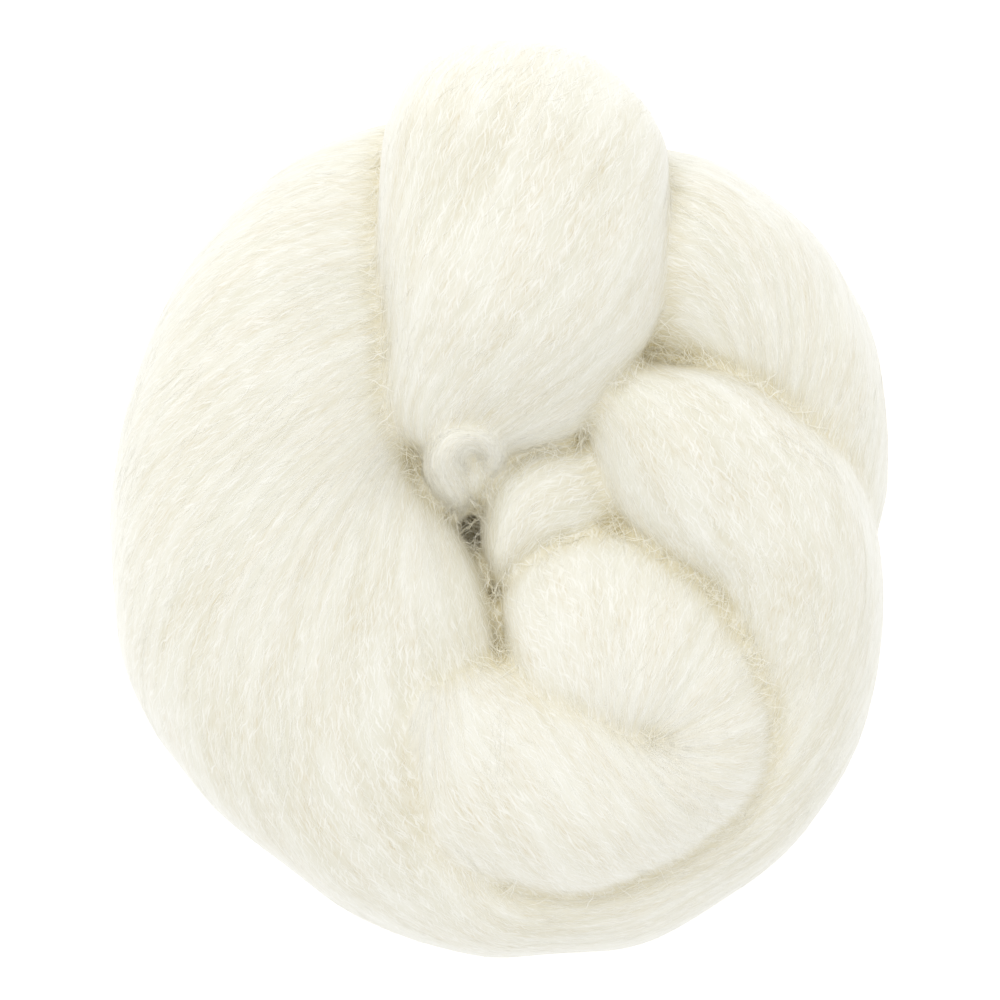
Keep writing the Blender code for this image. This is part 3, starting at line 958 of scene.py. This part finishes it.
def worked(tree, kind, operation, *values):
    """What a sum makes of its values, each a number, a vector or another node's output."""
    return add_node(tree, kind, dict(enumerate(values)), operation=operation).outputs[0]


def noise_of(tree, spot, scale, place):
    """Noise at a spot, scaled along its three axes and taken at a place of its own."""
    spot = worked(tree, "VectorMath", "MULTIPLY_ADD", spot, scale, (0.0, 0.0, place))
    settings = {"Vector": spot, "Scale": 1.0, "Detail": 1.0}
    return add_node(tree, "TexNoise", settings).outputs["Fac"]


def fibre_layer(tree, flow, turned, length, width, place):
    """Noise drawn out along fibres that lie a little turned from the flow, and crimped."""
    laid = add_node(
        tree, "VectorRotate", {"Vector": flow, "Angle": np.radians(turned)},
        rotation_type="Z_AXIS",
    ).outputs[0]
    wave = noise_of(tree, laid, (1 / CRIMP_LENGTH, 1 / CRIMP_WIDTH, 1.0), place)
    shift = add_node(tree, "CombineXYZ", {"Y": wave}).outputs[0]
    bent = worked(tree, "VectorMath", "MULTIPLY_ADD", shift, (0.0, CRIMP, 0.0), laid)
    return noise_of(tree, bent, (1 / length, 1 / width, 1.0), place + 5.0)


def streaks_of(tree, layer, begin, full, interpolation="LINEAR"):
    """Streaks where a layer's noise is high: 0 up to where they begin, and 1 where full."""
    return add_node(
        tree, "MapRange",
        {"Value": layer, "From Min": begin, "From Max": full}, interpolation_type=interpolation,
    ).outputs[0]


def fibre_pattern():
    """The pattern of the fine fibres: hairs, gaps between them, and broader locks."""
    tree = bpy.data.node_groups.new("wool_fibre_pattern", "ShaderNodeTree")
    tree.interface.new_socket("Flow", in_out="INPUT", socket_type="NodeSocketVector")
    for name in ("Hairs", "Gaps", "Locks"):
        tree.interface.new_socket(name, in_out="OUTPUT", socket_type="NodeSocketFloat")
    flow = tree.nodes.new("NodeGroupInput").outputs["Flow"]
    out = tree.nodes.new("NodeGroupOutput")
    hairs = 0.0
    for layer in HAIR_LAYERS:
        noise = fibre_layer(tree, flow, *layer)
        some = streaks_of(tree, noise, *HAIR_EDGES, "SMOOTHSTEP")
        hairs = worked(tree, "Math", "MAXIMUM", some, hairs)
    patches = streaks_of(tree, fibre_layer(tree, flow, *PATCHES), *PATCH_EDGES)
    specks = streaks_of(tree, fibre_layer(tree, flow, *SPECKS), *SPECK_EDGES)
    gaps = worked(tree, "Math", "ADD", specks, SPECKLESS)
    gaps = worked(tree, "Math", "MULTIPLY", gaps, patches)
    locks = streaks_of(tree, fibre_layer(tree, flow, *LOCKS), *LOCK_EDGES)
    tree.links.new(hairs, out.inputs["Hairs"])
    tree.links.new(gaps, out.inputs["Gaps"])
    tree.links.new(locks, out.inputs["Locks"])
    return tree


def own_value(tree, name):
    """A number that the mesh itself carries."""
    return add_node(tree, "Attribute", {}, attribute_name=name).outputs["Fac"]


def mixed(tree, factor, colour, other):
    """The first colour where the factor is 0, and the other where it is 1."""
    return add_node(
        tree, "Mix", {"Factor": factor, "A": colour, "B": other}, data_type="RGBA"
    ).outputs["Result"]


def wool_material(pattern):
    """Cream wool: pale hairs over a warmer ground, brownish in the gaps, with painted shade in
    creases and sheltered places and a painted rim light on open sides.
    """
    material, surface = new_material("wool", WOOL_SURFACE)
    tree = material.node_tree
    flow = add_node(tree, "Attribute", {}, attribute_name="flow").outputs["Vector"]
    fine = add_node(tree, "Group", {}, node_tree=pattern)
    tree.links.new(flow, fine.inputs["Flow"])
    ground = worked(tree, "Math", "ADD", fine.outputs["Locks"], own_value(tree, "tint"))
    colour = mixed(tree, ground, WOOL_SHADE, WOOL_GROUND)
    # Random gaps, painted crease shade, painted rim light and random hairs, each mixed over the
    # colour before it.
    for mask, strength, tone in (
        (fine.outputs["Gaps"], GAP_STRENGTH, WOOL_GAP),
        (own_value(tree, "deep"), 1.0, WOOL_PAINTED_SHADE),
        (own_value(tree, "rim"), PAINTED_RIM_LIGHT_STRENGTH, WOOL_PAINTED_RIM_LIGHT),
        (fine.outputs["Hairs"], HAIR_STRENGTH, WOOL_HAIR),
    ):
        colour = mixed(tree, worked(tree, "Math", "MULTIPLY", mask, strength), colour, tone)
    tree.links.new(colour, surface.inputs["Base Color"])
    locks, hairs = fine.outputs["Locks"], fine.outputs["Hairs"]
    height = worked(tree, "Math", "MULTIPLY_ADD", locks, LOCK_HEIGHT, hairs)
    settings = {"Height": height, "Strength": 1.0, "Distance": HAIR_HEIGHT * MM}
    tree.links.new(add_node(tree, "Bump", settings).outputs[0], surface.inputs["Normal"])
    return material


def fibre_material():
    """Cream of a tint that varies from fibre to fibre, with painted shade along their parts that
    lie in creases.
    """
    material, surface = new_material("wool_fibre", WOOL_SURFACE)
    tree = material.node_tree
    colour = mixed(tree, own_value(tree, "tint"), FIBRE_SHADE, FIBRE_LIGHT)
    colour = mixed(tree, own_value(tree, "deep"), colour, FIBRE_PAINTED_SHADE)
    tree.links.new(colour, surface.inputs["Base Color"])
    return material


# -------- making the hank
def lumps(points, rng, size, amount):
    """Slow unevenness over the points: a few crossing waves of about one size."""
    total = np.zeros(points.shape[:2])
    for _ in range(LUMP_WAVES):
        wave = rng.normal(size=3)
        wave *= 2 * np.pi / size / np.linalg.norm(wave)
        total += np.sin(points @ wave + rng.uniform(0, 2 * np.pi))
    return total / LUMP_WAVES * amount


def grow_strand(turn, rng):
    """A turn's strand with its streaks and lumps, its tint, and the flow of its fibres."""
    strand = Strand(turn)
    coarse = strand.streaks(rng, STREAK_LENGTH, 3)
    offset = STREAK_HEIGHT * coarse + lumps(strand.points, rng, LUMP_SIZE, LUMP_HEIGHT) - SUNK_IN
    strand.points += strand.normal * offset[:, :, None]
    strand.points[:, :, 2] = strand.points[:, :, 2].clip(0.0)
    strand.measure()
    # The tint is random streaks plus the turn's tone, which on the curl and the inner turn is
    # painted light.
    strand.tint = STREAK_TINT * coarse + turn.tone
    strand.flow_grid = strand.flow()
    return strand


def make_floor():
    """A pale floor that the light leaves white, just under the hank."""
    bpy.ops.mesh.primitive_plane_add(size=6.0, location=(0.0, 0.0, -0.0002))
    floor = bpy.context.object
    floor.name = "floor"
    floor.data.materials.append(new_material("floor", FLOOR_SURFACE)[0])


def area_light(name, place, size, power):
    """A square lamp that faces the hank."""
    light = bpy.data.lights.new(name, "AREA")
    light.size = size
    light.energy = power
    lamp = new_object(name, light)
    lamp.location = place
    lamp.rotation_mode = "QUATERNION"
    lamp.rotation_quaternion = (-Vector(place)).to_track_quat("-Z", "Y")


def make_light():
    """A bright even sky, a soft key light from the far side and a weak fill from the near one."""
    world = bpy.data.worlds.new("studio")
    world.use_nodes = True
    world.node_tree.nodes["Background"].inputs["Color"].default_value = (1.0, 1.0, 1.0, 1.0)
    world.node_tree.nodes["Background"].inputs["Strength"].default_value = 0.92
    bpy.context.scene.world = world
    area_light("key_light", (-0.35, 0.75, 0.9), 0.7, 3.9)
    area_light("fill_light", (0.45, -0.7, 0.9), 0.8, 0.7)


def make_camera():
    """Straight above the hank, so that 1000 pixels span 170 mm at its middle height."""
    camera = bpy.data.cameras.new("camera")
    camera.lens = 180.0
    camera.sensor_width = 36.0
    holder = new_object("camera", camera)
    span = 0.170
    middle_height = 0.022
    holder.location = (0.0, 0.0, middle_height + span * camera.lens / camera.sensor_width)
    camera.clip_start = 0.01
    bpy.context.scene.camera = holder


def make_hank():
    """The hank's skin and all its fibres, in the order in which they draw on the seed."""
    rng = np.random.default_rng(SEED)
    wool = wool_material(fibre_pattern())
    fibre = fibre_material()
    strands = [grow_strand(turn, rng) for turn in TURNS]
    hank = joined(strands)
    skin = Skin(hank.data)
    skin.soften()
    hank.data.vertices.foreach_set("co", (skin.points * MM).astype(np.float32).ravel())
    skin.find_shelter()
    skin.find_hollows()
    skin.locate(strands)
    # Painted shade in the creases and painted rim light on open sides go onto the skin as
    # attributes.
    skin.deep = painted_shade_weight(skin, strands)
    skin.face_deep = skin.deep[skin.faces].mean(axis=1)
    add_values(hank.data, "deep", "POINT", skin.deep)
    add_values(hank.data, "rim", "POINT", painted_rim_light_weight(skin))
    add_values(hank.data, "flow", "CORNER", corner_flow(skin, strands))
    number, row, column = skin.vertex_place
    tint = np.zeros(len(number))
    for n, strand in enumerate(strands):
        mine = number == n
        tint[mine] = strand.read(strand.tint, row[mine], column[mine])
    add_values(hank.data, "tint", "POINT", tint)
    hank.data.update()
    finish_piece(hank, wool)
    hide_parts("roving_hank")
    tree = skin.tree()
    for kind in FIBRE_KINDS:
        fibre_pieces(kind, *lay_fibres(kind, skin, strands, tree, rng), rng, fibre)
    fibre_pieces(CROSSING, *cross_creases(CROSSING, skin, tree, rng), rng, fibre)


make_hank()
make_floor()
make_light()
make_camera()
bpy.context.scene.view_settings.view_transform = "Standard"
